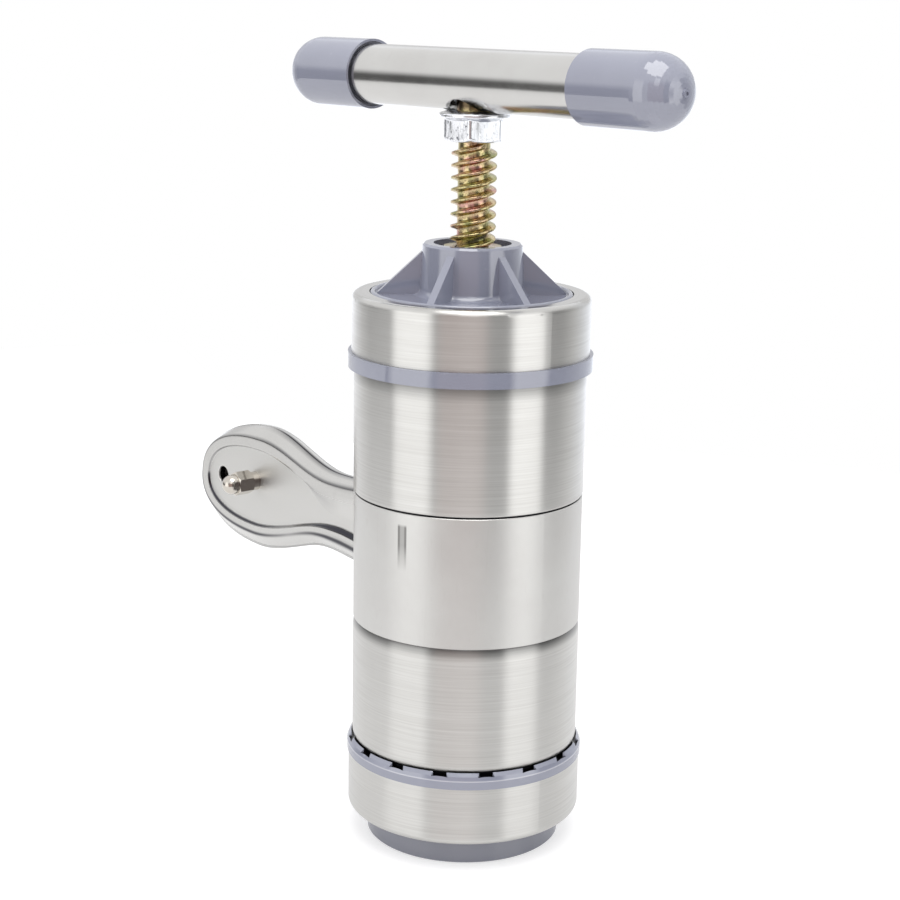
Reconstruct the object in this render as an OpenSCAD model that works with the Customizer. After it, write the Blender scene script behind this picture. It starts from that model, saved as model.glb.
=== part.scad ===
// Screw-driven pasta extruder with a T-bar crank and a stamped side handle.
// Millimetres, +Z up. The origin is on the barrel axis, in the plane of the
// outlet ring that the press stands on. The side handle points along -X.

/* [Heights on the barrel axis] */
// Bare outlet ring below the steel shell of the die ring
outlet_h = 9; // [6:0.5:14]
// Steel shell of the die ring
die_shell_h = 19.9; // [19:0.1:26]
// Slotted rim of the die ring
die_rim_h = 5.4; // [4.4:0.1:7]
// Open length of the barrel between the two rims
body_h = 127.5; // [118:0.5:150]
// Rim of the screw cap
cap_rim_h = 5.1; // [4.6:0.1:7]
// Steel shell of the screw cap
cap_shell_h = 19.4; // [18:0.1:26]
// Hub above the top of the screw cap
hub_h = 16; // [12:0.5:22]

/* [Barrel] */
// Radius of the dough chamber
chamber_r = 33.5; // [28:0.1:40]
// Wall of the chamber liner
liner_wall = 1.8; // [1.4:0.1:2.4]
// Room for the screw necks between the liner and the sleeve
neck_room = 2.2; // [1.9:0.1:3]
// Sheet of the steel sleeve
sleeve_wall = 0.8; // [0.5:0.1:1]

/* [Die ring and screw cap] */
// How far the steel shell of the die ring stands out over the sleeve
die_shell_over = 1.3; // [1:0.1:2]
// How far the slotted rim stands out over the sleeve
die_rim_over = 1.8; // [1.6:0.1:3]
// Width of the ledge that carries the die
die_ledge = 4; // [2.5:0.1:6]
// Wall of the outlet ring
outlet_wall = 3.4; // [2:0.1:4]
// How far the steel shell of the screw cap stands out over the sleeve
cap_shell_over = 0.9; // [0.8:0.1:2]
// How far the rim of the screw cap stands out over the sleeve
cap_rim_over = 2; // [1.6:0.1:3]
// Sheet of both steel shells
shell_wall = 0.7; // [0.5:0.1:0.9]
// Rounding of the closed edge of both steel shells
shell_round = 2.2; // [1.2:0.1:3]
// Width of the steel ring around the plastic disc in the top of the screw cap
annulus_w = 6.1; // [4:0.1:8]
// Radius of the hub
hub_r = 16.3; // [15:0.1:20]
// Wall of the hub around its opening
hub_wall = 3.6; // [2.5:0.1:4]
// Number of ribs on the screw cap
rib_count = 6; // [4:1:10]
// Thickness of a rib
rib_t = 2.5; // [1.8:0.1:3.5]
// Number of slots in the rim of the die ring
slot_count = 16; // [8:1:20]
// Width of a slot
slot_w = 5.6; // [3:0.1:6]

/* [Spindle and T-bar] */
// Crest radius of the screw
screw_r = 7.45; // [6.6:0.05:8.6]
// Root radius of the screw
root_r = 5.25; // [4.4:0.05:6]
// Rise of the screw from one thread to the next
pitch = 3.9; // [3.4:0.1:4.6]
// Number of threads that wind side by side on the screw
thread_starts = 2; // [1:1:2]
// Screw seen between the hub and the flange nut
screw_show = 32.6; // [20:0.1:60]
// How far the plain top of the spindle stands out over the root
stud_step = 0.65; // [0.3:0.05:0.9]
// Radius of the T-bar tube
bar_r = 10; // [8.5:0.1:12]
// Wall of the T-bar tube
bar_wall = 1.5; // [1.2:0.1:1.6]
// Half length of the T-bar over its end caps
bar_half = 88.2; // [70:0.1:110]
// Turn of the T-bar away from the side handle
bar_turn = 2.9; // [0:0.1:90]
// Length of a plastic end cap
bar_cap_l = 37.2; // [28:0.1:45]
// Wall of a plastic end cap
bar_cap_wall = 1.6; // [1.2:0.1:2.5]

/* [Side handle] */
// Height of the band around the barrel
band_h = 43.4; // [30:0.1:50]
// Height of the band above the die rim
band_up = 41.9; // [30:0.1:50]
// Sheet of the band
band_t = 0.6; // [0.4:0.05:0.7]
// Length of the handle from the barrel to its tip
handle_l = 123; // [100:0.1:150]
// Length of the lobe beyond its widest point
lobe_reach = 42.3; // [34:0.1:50]
// Half height of the lobe
lobe_half = 23.8; // [21:0.1:26]
// Half height of the neck
waist_half = 14.2; // [12.5:0.1:16]
// Half thickness of the handle
handle_half_t = 5; // [4.6:0.1:6.5]
// Sheet of the handle halves
handle_sheet = 0.8; // [0.6:0.05:1]
// How far the handle sits below the middle of the band
handle_drop = 1.8; // [0:0.1:3]
// Radius of the hanging hole
hang_r = 3.3; // [2.5:0.1:4]

/* [Piston and die] */
// Height of the piston
piston_h = 15; // [13.5:0.1:18]
// Gap of the piston plate to the chamber
piston_gap = 0.4; // [0.3:0.05:0.6]
// Thickness of the die plate
die_t = 3; // [2:0.1:4]
// Radius of a pasta hole
hole_r = 1.7; // [1:0.1:2.2]
// Rings of pasta holes around the middle one
hole_rings = 3; // [1:1:3]

/* [Hidden] */

// Colours
plastic = "#a5a8be";
brushed_steel = "#c9c8c4";
polished_steel = "#dcdcd8";
yellow_zinc = "#bfa45c";
white_zinc = "#dde2e6";
nickel = "#d3cbbd";
rubber = "#e6e4de";
die_white = "#eceae4";

// Clearances
fit_gap = 0.05;      // parts pressed or slid home on each other
slide_gap = 0.1;     // flat faces with play
thread_gap = 0.4;    // screw necks in their caps
rim_gap = 0.35;      // rims around the sleeve
overrun = 1;         // how far a cut runs past the face that it opens

// Radii from the chamber outwards
liner_r = chamber_r + liner_wall;
sleeve_r = liner_r + neck_room + sleeve_wall;
die_shell_r = sleeve_r + die_shell_over;
die_rim_r = sleeve_r + die_rim_over;
outlet_bore_r = chamber_r - die_ledge;
outlet_r = outlet_bore_r + outlet_wall;
cap_shell_r = sleeve_r + cap_shell_over;
cap_rim_r = sleeve_r + cap_rim_over;
disc_r = cap_shell_r - annulus_w;
skirt_r = liner_r + thread_gap;
hub_open_r = hub_r - hub_wall;

// Heights of the stack
die_shell_z = outlet_h;
die_rim_z = die_shell_z + die_shell_h;
body_z = die_rim_z + die_rim_h;
cap_rim_z = body_z + body_h;
cap_shell_z = cap_rim_z + cap_rim_h;
cap_top_z = cap_shell_z + cap_shell_h;
hub_top_z = cap_top_z + hub_h;

// Die seat: the plate lies on a ledge and the liner ends just above it
ledge_up = 3;
die_z = die_shell_z + ledge_up;
die_top_z = die_z + die_t;
liner_z = die_top_z + rim_gap;

// Plastic that joins the rims to their rings, above or below the sleeve
rim_web = 1.2;

// Chamber liner: necks, centring flanges and the lip on the sleeve
flange_h = 2.4;
flange_r = sleeve_r - sleeve_wall - slide_gap;
lip_h = 2.2;
lip_r = sleeve_r - slide_gap;
lip_z = cap_shell_z - rim_web - rim_gap - lip_h;
neck_chamfer = 0.8;
neck_top_gap = 1.4;
plate_t = 3.1;
cap_ceiling_z = cap_top_z - shell_wall - plate_t;
liner_top_z = cap_ceiling_z - neck_top_gap;

// Sleeve: rolled foot under the liner flange, seat for the band
sleeve_z = die_rim_z + rim_web + thread_gap;
foot_r = liner_r + thread_gap;
seat_gap = 0.05;
band_r = sleeve_r - slide_gap;
seat_r = band_r - band_t - seat_gap;
seat_shoulder_h = 2.2;
edge_gap = 0.35;
band_z = body_z + band_up;
handle_z = band_z + band_h / 2 - handle_drop;
band_bevel = 0.2;

// Screw cap
disc_lip_w = 1.7;
disc_lip_h = 1.2;
groove_w = 0.9;
groove_h = 2;
shell_lip_gap = 0.3;
disc_z = cap_top_z - shell_wall - slide_gap;
hub_draft = 0.7;
hub_fillet = 2.4;
rib_drop = 2.6;
rib_end_gap = 0.6;
rib_phase = -5;
bush_wall = 1.95;
bush_r = screw_r + bush_wall;
bush_top_drop = 0.9;
bush_flange_w = 2.4;
bush_flange_r = bush_r + bush_flange_w;
bush_flange_h = 2.2;
hub_floor_depth = 6.5;
boss_wall = 3.2;
boss_down = 7;
bush_top_z = hub_top_z - bush_top_drop;
bush_z = cap_ceiling_z - boss_down;
boss_r = bush_flange_r + boss_wall;

// Slotted rim of the die ring, as shares of its height and of its width
rim_face_share = 0.54;
rim_mid_share = 0.8;
rim_mid_width_share = 0.42;
slot_top_share = 0.6;
slot_depth_share = 0.74;
slot_wall_share = 0.42;
slot_phase = 16.25;

// Flange nut
nut_across = 18.2;
nut_h = 7.8;
nut_flange_r = 11.5;
nut_flange_h = 2.3;
nut_round = 0.5;
serration_count = 24;
serration_h = 0.4;
nut_phase = 11;
nut_z = hub_top_z + screw_show;
nut_top_z = nut_z + nut_h + nut_flange_h;

// T-bar
seat_depth = 0.9;
bar_z = nut_top_z - seat_depth + bar_r;
bar_hole_share = 0.82;
bar_hole_r = bar_hole_share * bar_r;
bar_bore_r = bar_r - bar_wall;
bar_cap_r = bar_r + bar_cap_wall;
cap_floor = 2;
bar_tube_half = bar_half - bar_cap_r - cap_floor;
mouth_wall = 0.8;
mouth_depth = 1.5;
nub_r = 1.3;
nub_h = 0.5;
nub_pit_r = 0.6;
dowel_half = 13;
dowel_r = bar_bore_r - slide_gap;
stud_rise = 5;

// Piston
travel_down = 31.5;
bottom_gap = 0.6;
piston_z = die_top_z + bottom_gap + travel_down;
piston_r = chamber_r - piston_gap;
piston_floor = 3.6;
piston_rim_t = 3;
piston_ribs = 6;
piston_rib_t = 2;
recess_depth = 5;
pocket_depth = 4;
pocket_gap = 0.3;
pocket_wall = 2.9;
piston_web_t = piston_h - recess_depth - pocket_depth;
seal_h = 4;
seal_depth = 2.6;
seal_gap = 0.15;
seal_up = 6.6;
seal_round = 0.8;
journal_step = 0.75;
journal_r = root_r - journal_step;
thrust_gap = 0.2;
collar_step = 1.55;
collar_r = screw_r + collar_step;
pocket_r = collar_r + pocket_gap;
piston_boss_r = pocket_r + pocket_wall;
tap_r = 2.5;
tap_depth = 9;
washer_t = 1.1;
washer_r = 8.4;
washer_room = 1.1;
recess_r = washer_r + washer_room;
screw_head_r = 5.4;
screw_head_h = 2.8;
socket_across = 4;
socket_depth = 1.6;

// Spindle: plain top above the screw
stud_r = root_r + stud_step;

// Screw thread: flat root, slanted flanks and a flat crest in each pitch
turn_steps = 16;
lead = thread_starts * pitch;
start_steps = turn_steps / thread_starts;
root_flat_share = 0.4;
flank_share = 0.18;
crest_flat_share = 0.24;
run_out_turns = 0.5;
thread_sink_share = 0.67;
thread_end_share = 0.85;
stud_show = 0.9;
thread_play = 0.3;
flank_play = 0.15;
web_z = piston_z + recess_depth;
pocket_z = web_z + piston_web_t;
collar_z = pocket_z + thrust_gap;
collar_top_z = pocket_z + pocket_depth;
thread_z = collar_top_z - thread_sink_share * pitch;
thread_top_z = nut_z - thread_end_share * pitch;
stud_top_z = bar_z + stud_rise;

// Side handle: the sheet rises from the seam over a rounded wall to a flat
// rim, and the panel inside the rim is pressed in
neck_steps = 9;
end_steps = 7;
wall_w = 4.9;
rim_w = 3.5;
step_w = 0.9;
panel_drop = 0.9;
wall_shares = [[0, 0], [0.1, 0.45], [0.35, 0.75], [0.7, 0.93], [1, 1]];
flare_gap = 0.1;
flare_half = handle_z - band_z - flare_gap - waist_half;
root_x = sleeve_r - handle_half_t;
root_back = 12;
handle_reach = sleeve_r + handle_l;
lobe_x = handle_reach - lobe_reach;
waist_share = 0.47;
waist_x = root_x + waist_share * (lobe_x - root_x);
lobe_power = 2.35;
lobe_lean_share = 0.14;
seam_gap = 0.1;
panel_y = handle_half_t - panel_drop;
hang_in = 18.9;
hang_x = handle_reach - hang_in;
bolt_in = 21.7;
bolt_x = hang_x - bolt_in;
bolt_up = 2.3;
rivet_out = 8.7;
rivet_x = sleeve_r + rivet_out;
ear_half = 8;
ear_end = 7;
ear_x = rivet_x + ear_end;
ear_gap = 0.1;
ear_y = panel_y - handle_sheet - ear_gap;
band_slot_gap = 1.2;
bolt_r = 2.5;
bolt_hole_gap = 0.1;
bolt_head_r = 4.2;
bolt_head_h = 2.8;
nut_collar_r = 3.6;
nut_collar_h = 3.8;
acorn_across = 8;
acorn_hex_h = 6.6;
acorn_dome_r = 3.7;
acorn_neck_h = 1.2;
acorn_depth = 8.6;
rivet_r = 2.4;
rivet_head_r = 4.6;
rivet_head_h = 2;

// Pasta holes
hole_margin = 3.8;
hole_ring_step = (outlet_bore_r - hole_margin - hole_r) / hole_rings;
die_r = skirt_r - rim_gap;

round_fn = 96;
small_fn = 48;
$fn = round_fn;

// Points of a quarter circle from angle a to angle b around (x, y)
function arc(x, y, r, a, b, steps = 8) =
    [for (i = [0 : steps]) let (t = a + (b - a) * i / steps) [x + r * cos(t), y + r * sin(t)]];

module ring(r_out, r_in, z, h) {
    translate([0, 0, z]) difference() {
        cylinder(h = h, r = r_out);
        translate([0, 0, -overrun]) cylinder(h = h + 2 * overrun, r = r_in);
    }
}

// Steel shell that is open at the bottom and rolled in over its top
module rolled_shell(r, lip_edge_r, h) {
    rotate_extrude() difference() {
        union() {
            square([r, h - shell_round]);
            square([r - shell_round, h]);
            translate([r - shell_round, h - shell_round]) circle(r = shell_round, $fn = small_fn);
        }
        square([r - shell_wall, h - shell_round]);
        square([r - shell_round, h - shell_wall]);
        translate([r - shell_round, h - shell_round])
            circle(r = shell_round - shell_wall, $fn = small_fn);
        translate([0, -overrun]) square([lip_edge_r, h + 2 * overrun]);
    }
}

module cap_shell() {
    color(brushed_steel) translate([0, 0, cap_shell_z])
        rolled_shell(cap_shell_r, disc_r + shell_lip_gap, cap_shell_h);
}

module die_ring_shell() {
    color(brushed_steel) translate([0, 0, die_rim_z]) mirror([0, 0, 1])
        rolled_shell(die_shell_r, outlet_r + shell_lip_gap, die_shell_h);
}

// Screw cap

module cap_body() {
    body_r = cap_shell_r - shell_wall - fit_gap;
    corner = shell_round - shell_wall;
    rotate_extrude() polygon(concat(
        [[0, bush_z], [boss_r, bush_z], [boss_r, cap_ceiling_z], [skirt_r, cap_ceiling_z],
         [skirt_r, cap_shell_z - rim_web], [sleeve_r + rim_gap, cap_shell_z - rim_web],
         [sleeve_r + rim_gap, cap_rim_z], [cap_rim_r, cap_rim_z],
         [cap_rim_r, cap_shell_z - fit_gap], [body_r, cap_shell_z - fit_gap]],
        arc(body_r - corner, disc_z - corner, corner, 0, 90),
        [[disc_r + groove_w, disc_z], [disc_r + groove_w, disc_z - groove_h],
         [disc_r, disc_z - groove_h], [disc_r, disc_z + disc_lip_h - disc_lip_w / 3]],
        arc(disc_r - disc_lip_w / 2, disc_z + disc_lip_h - disc_lip_w / 2, disc_lip_w / 2, 20, 160),
        [[disc_r - disc_lip_w, disc_z], [hub_r + hub_draft + hub_fillet, disc_z]],
        arc(hub_r + hub_draft + hub_fillet, disc_z + hub_fillet, hub_fillet, 270, 190),
        [[hub_r, hub_top_z - hub_draft], [hub_r - hub_draft, hub_top_z], [0, hub_top_z]]));
}

module cap_rib() {
    rib_in = hub_open_r + hub_draft;
    rib_out = disc_r - disc_lip_w - rib_end_gap;
    rotate([90, 0, 0]) translate([0, 0, -rib_t / 2]) linear_extrude(height = rib_t)
        polygon([[rib_in, disc_z - overrun], [rib_out, disc_z - overrun],
            [rib_out, disc_z + rib_end_gap], [hub_r, hub_top_z - rib_drop],
            [rib_in, hub_top_z - rib_drop]]);
}

module cap_insert() {
    color(plastic) difference() {
        union() {
            cap_body();
            for (i = [0 : rib_count - 1]) rotate([0, 0, rib_phase + i * 360 / rib_count]) cap_rib();
        }
        translate([0, 0, bush_z - overrun])
            cylinder(h = hub_top_z - bush_z, r = bush_r + fit_gap);
        translate([0, 0, bush_z - overrun])
            cylinder(h = overrun + bush_flange_h, r = bush_flange_r + fit_gap);
        translate([0, 0, hub_top_z - hub_floor_depth])
            cylinder(h = hub_floor_depth + overrun, r = hub_open_r);
    }
}

// Screw threads as one closed surface: each step along a helix carries the
// root, the lower flank and the upper flank of one thread, and is joined to the
// thread above it
module thread(z0, z1, radial_play = 0, axial_play = 0, run_out = 0) {
    steps = floor((z1 - z0 - pitch) / lead * turn_steps);
    spread = axial_play / pitch;
    shares = [spread, root_flat_share - spread, root_flat_share + flank_share - spread,
        root_flat_share + flank_share + crest_flat_share + spread];
    in_r = root_r + radial_play;
    rise = screw_r - root_r;
    starts = [0 : thread_starts - 1];
    body_points = 4 * (steps + 1);
    function crest(i) = in_r + rise * (run_out > 0 ? min(1, (steps - i) / (run_out * turn_steps)) : 1);
    function place(s, i, k) =
        let (a = 360 * (i / turn_steps + s / thread_starts), r = k > 1 ? crest(i) : in_r)
        [r * cos(a), r * sin(a), z0 + lead * i / turn_steps + pitch * shares[k]];
    points = concat([for (s = starts) for (i = [0 : steps]) for (k = [0 : 3]) place(s, i, k)],
        [for (s = starts) for (i = [steps + 1 : steps + start_steps]) place(s, i, 0)],
        [[0, 0, z0], [0, 0, z1]]);
    function at(s, i, k) = i <= steps ? body_points * s + 4 * i + k
        : body_points * thread_starts + start_steps * s + i - steps - 1;
    function above(s) = (s + thread_starts - 1) % thread_starts;
    foot = len(points) - 2;
    head = len(points) - 1;
    sides = [for (s = starts) for (i = [0 : steps - 1]) for (k = [0 : 3])
        let (a = at(s, i, k), b = at(s, i + 1, k),
             c = k < 3 ? at(s, i + 1, k + 1) : at(above(s), i + 1 + start_steps, 0),
             d = k < 3 ? at(s, i, k + 1) : at(above(s), i + start_steps, 0))
        each [[a, d, c], [a, c, b]]];
    bottom = [for (s = starts) for (i = [0 : start_steps - 1]) [foot, at(s, i, 0), at(s, i + 1, 0)]];
    bottom_end = [for (s = starts) [foot, at(above(s), start_steps, 0), at(s, 0, 3), at(s, 0, 2),
        at(s, 0, 1), at(s, 0, 0)]];
    top = [for (s = starts) for (i = [steps : steps + start_steps - 1])
        [head, at(s, i + 1, 0), at(s, i, 0)]];
    top_end = [for (s = starts) [head, at(s, steps, 0), at(s, steps, 1), at(s, steps, 2),
        at(s, steps, 3), at(above(s), steps + start_steps, 0)]];
    polyhedron(points = points, faces = concat(sides, bottom, bottom_end, top, top_end));
}

module spindle() {
    color(yellow_zinc) difference() {
        union() {
            thread(thread_z, thread_top_z + pitch, run_out = run_out_turns);
            translate([0, 0, web_z - slide_gap]) cylinder(h = collar_z - web_z + pitch / 4, r = journal_r);
            translate([0, 0, collar_z]) cylinder(h = collar_top_z - collar_z, r = collar_r);
            translate([0, 0, nut_z - stud_show]) cylinder(h = stud_top_z - nut_z + stud_show, r = stud_r);
        }
        translate([0, 0, web_z - overrun]) cylinder(h = tap_depth + overrun, r = tap_r, $fn = small_fn);
    }
}

// The threads inside the bush start whole turns above the start of the screw,
// so that the two stay in step
module spindle_bush() {
    bush_h = bush_top_z - bush_z;
    turns_below = floor((bush_z - overrun - thread_z) / lead) - 1;
    color(yellow_zinc) difference() {
        union() {
            translate([0, 0, bush_z]) cylinder(h = bush_h, r = bush_r);
            translate([0, 0, bush_z]) cylinder(h = bush_flange_h - slide_gap, r = bush_flange_r);
        }
        thread(thread_z + turns_below * lead, bush_top_z + 3 * pitch, thread_play, flank_play);
    }
}

// T-bar

module flange_nut() {
    color(white_zinc) translate([0, 0, nut_z]) difference() {
        union() {
            intersection() {
                rotate([0, 0, nut_phase])
                    cylinder(h = nut_h + nut_flange_h / 2, d = nut_across / cos(180 / 6), $fn = 6);
                rotate_extrude() polygon([[0, 0], [nut_across / 2, 0],
                    [nut_across / 2 / cos(180 / 6) + nut_round / 2, 2 * nut_round],
                    [nut_across / 2 / cos(180 / 6) + nut_round / 2, nut_h + nut_flange_h / 2],
                    [0, nut_h + nut_flange_h / 2]]);
            }
            translate([0, 0, nut_h]) rotate_extrude() polygon([[0, 0], [nut_across / 2, 0],
                [nut_flange_r, nut_flange_h - serration_h - nut_round],
                [nut_flange_r, nut_flange_h - serration_h], [0, nut_flange_h - serration_h]]);
            for (i = [0 : serration_count - 1]) rotate([0, 0, i * 360 / serration_count])
                translate([bar_hole_r, 0, nut_h + nut_flange_h - serration_h]) rotate([90, 0, 90])
                    linear_extrude(height = nut_flange_r - nut_round - bar_hole_r)
                        polygon([[-nut_round, -nut_round], [nut_round, -nut_round],
                            [nut_round, 0], [0, serration_h], [-nut_round, 0]]);
        }
        translate([0, 0, -overrun])
            cylinder(h = nut_h + nut_flange_h + 2 * overrun, r = stud_r + slide_gap);
    }
}

module along_bar() {
    translate([0, 0, bar_z]) rotate([0, 0, bar_turn]) rotate([0, 90, 0]) children();
}

module t_bar_tube() {
    color(polished_steel) difference() {
        along_bar() translate([0, 0, -bar_tube_half]) cylinder(h = 2 * bar_tube_half, r = bar_r);
        along_bar() translate([0, 0, -bar_tube_half - overrun])
            cylinder(h = 2 * (bar_tube_half + overrun), r = bar_bore_r);
        translate([0, 0, nut_top_z - bar_r]) cylinder(h = bar_z - nut_top_z + bar_r, r = bar_hole_r);
        translate([0, 0, nut_top_z - bar_r]) cylinder(h = bar_r, r = nut_flange_r + slide_gap);
    }
}

// End cap with its open mouth at the start of the profile
module bar_cap() {
    mouth = bar_half - bar_cap_l;
    dome = bar_half - bar_cap_r;
    difference() {
        union() {
            rotate_extrude() polygon(concat([[0, mouth], [bar_cap_r, mouth]],
                arc(0, dome, bar_cap_r, 0, 90, 12)));
            translate([0, 0, bar_half - nub_h]) cylinder(h = 2 * nub_h, r = nub_r, $fn = small_fn);
        }
        translate([0, 0, mouth - overrun])
            cylinder(h = overrun + bar_tube_half + fit_gap - mouth, r = bar_r + fit_gap);
        translate([0, 0, mouth - overrun])
            cylinder(h = overrun + mouth_depth, r = bar_cap_r - mouth_wall);
        translate([0, 0, bar_half]) cylinder(h = overrun, r = nub_pit_r, $fn = small_fn);
    }
}

module t_bar_cap_right() {
    color(plastic) along_bar() bar_cap();
}

module t_bar_cap_left() {
    color(plastic) along_bar() mirror([0, 0, 1]) bar_cap();
}

module t_bar_dowel() {
    color(white_zinc) difference() {
        along_bar() translate([0, 0, -dowel_half]) cylinder(h = 2 * dowel_half, r = dowel_r);
        translate([0, 0, nut_top_z - bar_r])
            cylinder(h = bar_z + bar_r - nut_top_z + bar_r, r = stud_r + slide_gap);
        translate([0, 0, nut_top_z - bar_r]) cylinder(h = bar_r + slide_gap, r = bar_hole_r);
    }
}

// Barrel

module barrel_sleeve() {
    in = sleeve_wall;
    band_top_z = band_z + band_h;
    color(brushed_steel) rotate_extrude() polygon([
        [foot_r, sleeve_z], [sleeve_r - in / 2, sleeve_z], [sleeve_r, sleeve_z + in / 2],
        [sleeve_r, band_z - seat_shoulder_h], [sleeve_r - in / 4, band_z - seat_shoulder_h / 3],
        [seat_r, band_z], [seat_r, band_top_z + edge_gap], [sleeve_r, band_top_z + edge_gap],
        [sleeve_r, lip_z - slide_gap], [sleeve_r - in, lip_z - slide_gap],
        [sleeve_r - in, band_top_z + edge_gap + in], [seat_r - in, band_top_z + edge_gap + in],
        [seat_r - in, band_z], [sleeve_r - in, band_z - seat_shoulder_h],
        [sleeve_r - in, sleeve_z + in], [foot_r, sleeve_z + in]]);
}

module chamber_liner() {
    foot_top_z = sleeve_z + sleeve_wall + slide_gap;
    color(plastic) rotate_extrude() polygon([
        [chamber_r, liner_z], [liner_r - neck_chamfer, liner_z], [liner_r, liner_z + neck_chamfer],
        [liner_r, foot_top_z], [flange_r, foot_top_z], [flange_r, foot_top_z + flange_h],
        [liner_r, foot_top_z + flange_h + neck_chamfer], [liner_r, lip_z - flange_h - neck_chamfer],
        [flange_r, lip_z - flange_h], [flange_r, lip_z], [lip_r, lip_z], [lip_r, lip_z + lip_h],
        [liner_r, lip_z + lip_h], [liner_r, liner_top_z - neck_chamfer],
        [liner_r - neck_chamfer, liner_top_z], [chamber_r, liner_top_z]]);
}

// Die ring

module die_ring() {
    body_r = die_shell_r - shell_wall - fit_gap;
    corner = shell_round - shell_wall;
    seat_z = die_shell_z + shell_wall + fit_gap;
    lip_in_r = sleeve_r + rim_gap;
    rim_w = die_rim_r - lip_in_r;
    mid_r = die_rim_r - rim_mid_width_share * rim_w;
    slot_out_r = die_rim_r - slot_wall_share * rim_w;
    color(plastic) difference() {
        rotate_extrude() polygon(concat(
            [[outlet_bore_r, 0], [outlet_r - neck_chamfer / 2, 0], [outlet_r, neck_chamfer / 2],
             [outlet_r, seat_z]],
            arc(body_r - corner, seat_z + corner, corner, 270, 360),
            [[body_r, die_rim_z + fit_gap], [die_rim_r, die_rim_z + fit_gap],
             [die_rim_r, die_rim_z + rim_face_share * die_rim_h],
             [mid_r, die_rim_z + rim_mid_share * die_rim_h], [lip_in_r, body_z],
             [lip_in_r, die_rim_z + rim_web], [skirt_r, die_rim_z + rim_web], [skirt_r, die_z],
             [outlet_bore_r, die_z]]));
        for (i = [0 : slot_count - 1]) rotate([0, 0, slot_phase + i * 360 / slot_count])
            translate([0, 0, body_z - slot_depth_share * die_rim_h])
                linear_extrude(height = die_rim_h)
                    polygon([[lip_in_r - overrun, -slot_w * slot_top_share / 2],
                        [slot_out_r, -slot_w / 2], [slot_out_r, slot_w / 2],
                        [lip_in_r - overrun, slot_w * slot_top_share / 2]]);
    }
}

module die_plate() {
    color(die_white) translate([0, 0, die_z]) difference() {
        cylinder(h = die_t, r = die_r);
        translate([0, 0, -overrun]) cylinder(h = die_t + 2 * overrun, r = hole_r, $fn = small_fn);
        for (ring = [1 : hole_rings]) for (i = [0 : 6 * ring - 1])
            rotate([0, 0, i * 360 / (6 * ring)]) translate([ring * hole_ring_step, 0, -overrun])
                cylinder(h = die_t + 2 * overrun, r = hole_r, $fn = small_fn);
    }
}

// Piston

module piston_plate() {
    groove_r = piston_r - seal_depth;
    boss_top_z = piston_h;
    color(plastic) translate([0, 0, piston_z]) difference() {
        union() {
            difference() {
                cylinder(h = piston_h, r = piston_r);
                translate([0, 0, piston_floor])
                    cylinder(h = piston_h, r = groove_r - piston_rim_t);
            }
            cylinder(h = boss_top_z, r = piston_boss_r);
            for (i = [0 : piston_ribs - 1]) rotate([0, 0, i * 360 / piston_ribs])
                translate([piston_boss_r - overrun, -piston_rib_t / 2, 0])
                    cube([groove_r - piston_rim_t - piston_boss_r + 2 * overrun, piston_rib_t,
                        piston_h - pocket_depth]);
        }
        translate([0, 0, seal_up]) ring(piston_r + overrun, groove_r, 0, seal_h);
        translate([0, 0, -overrun]) cylinder(h = recess_depth + overrun, r = recess_r);
        translate([0, 0, -overrun]) cylinder(h = piston_h + 2 * overrun, r = journal_r + fit_gap);
        translate([0, 0, recess_depth + piston_web_t]) cylinder(h = piston_h, r = pocket_r);
    }
}

module piston_seal() {
    seal_r = chamber_r - seal_gap;
    color(rubber) translate([0, 0, piston_z + seal_up + slide_gap]) rotate_extrude()
        polygon([[piston_r - seal_depth + fit_gap, 0], [seal_r - seal_round, 0],
            [seal_r, seal_round], [seal_r, seal_h - 2 * slide_gap - seal_round],
            [seal_r - seal_round, seal_h - 2 * slide_gap],
            [piston_r - seal_depth + fit_gap, seal_h - 2 * slide_gap]]);
}

module piston_washer() {
    color(white_zinc) ring(washer_r, tap_r + slide_gap, web_z - slide_gap - washer_t, washer_t);
}

module piston_screw() {
    head_z = web_z - slide_gap - washer_t;
    color(white_zinc) difference() {
        union() {
            translate([0, 0, head_z - screw_head_h]) cylinder(h = screw_head_h, r = screw_head_r);
            translate([0, 0, head_z - overrun])
                cylinder(h = overrun + washer_t + tap_depth - slide_gap - overrun, r = tap_r - fit_gap,
                    $fn = small_fn);
        }
        translate([0, 0, head_z - screw_head_h - overrun])
            cylinder(h = overrun + socket_depth, d = socket_across / cos(180 / 6), $fn = 6);
    }
}

// Side handle

module handle_band() {
    slot_half = ear_y + band_t + band_slot_gap;
    slot_angle = asin(ear_y / (band_r - band_t));
    color(polished_steel) difference() {
        union() {
            difference() {
                rotate_extrude() polygon([[band_r - band_t, band_z],
                    [band_r - band_bevel, band_z], [band_r, band_z + band_bevel],
                    [band_r, band_z + band_h - band_bevel],
                    [band_r - band_bevel, band_z + band_h], [band_r - band_t, band_z + band_h]]);
                translate([-band_r - overrun, -ear_y, band_z - overrun])
                    cube([band_r, 2 * ear_y, band_h + 2 * overrun]);
            }
            for (side = [-1, 1]) scale([1, side, 1])
                translate([-ear_x, ear_y - band_t, handle_z - ear_half])
                    cube([ear_x - (band_r - band_t) * cos(slot_angle), band_t, 2 * ear_half]);
        }
        translate([-rivet_x, slot_half, handle_z]) rotate([90, 0, 0])
            cylinder(h = 2 * slot_half, r = rivet_r + slide_gap);
    }
}

// Half height of the handle outline at a distance from the barrel axis
function outline_half(s) = s < waist_x
    ? waist_half + flare_half * pow((waist_x - max(s, root_x)) / (waist_x - root_x), 2)
    : waist_half + (lobe_half - waist_half) * (1 - cos(180 * (s - waist_x) / (lobe_x - waist_x))) / 2;

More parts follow.
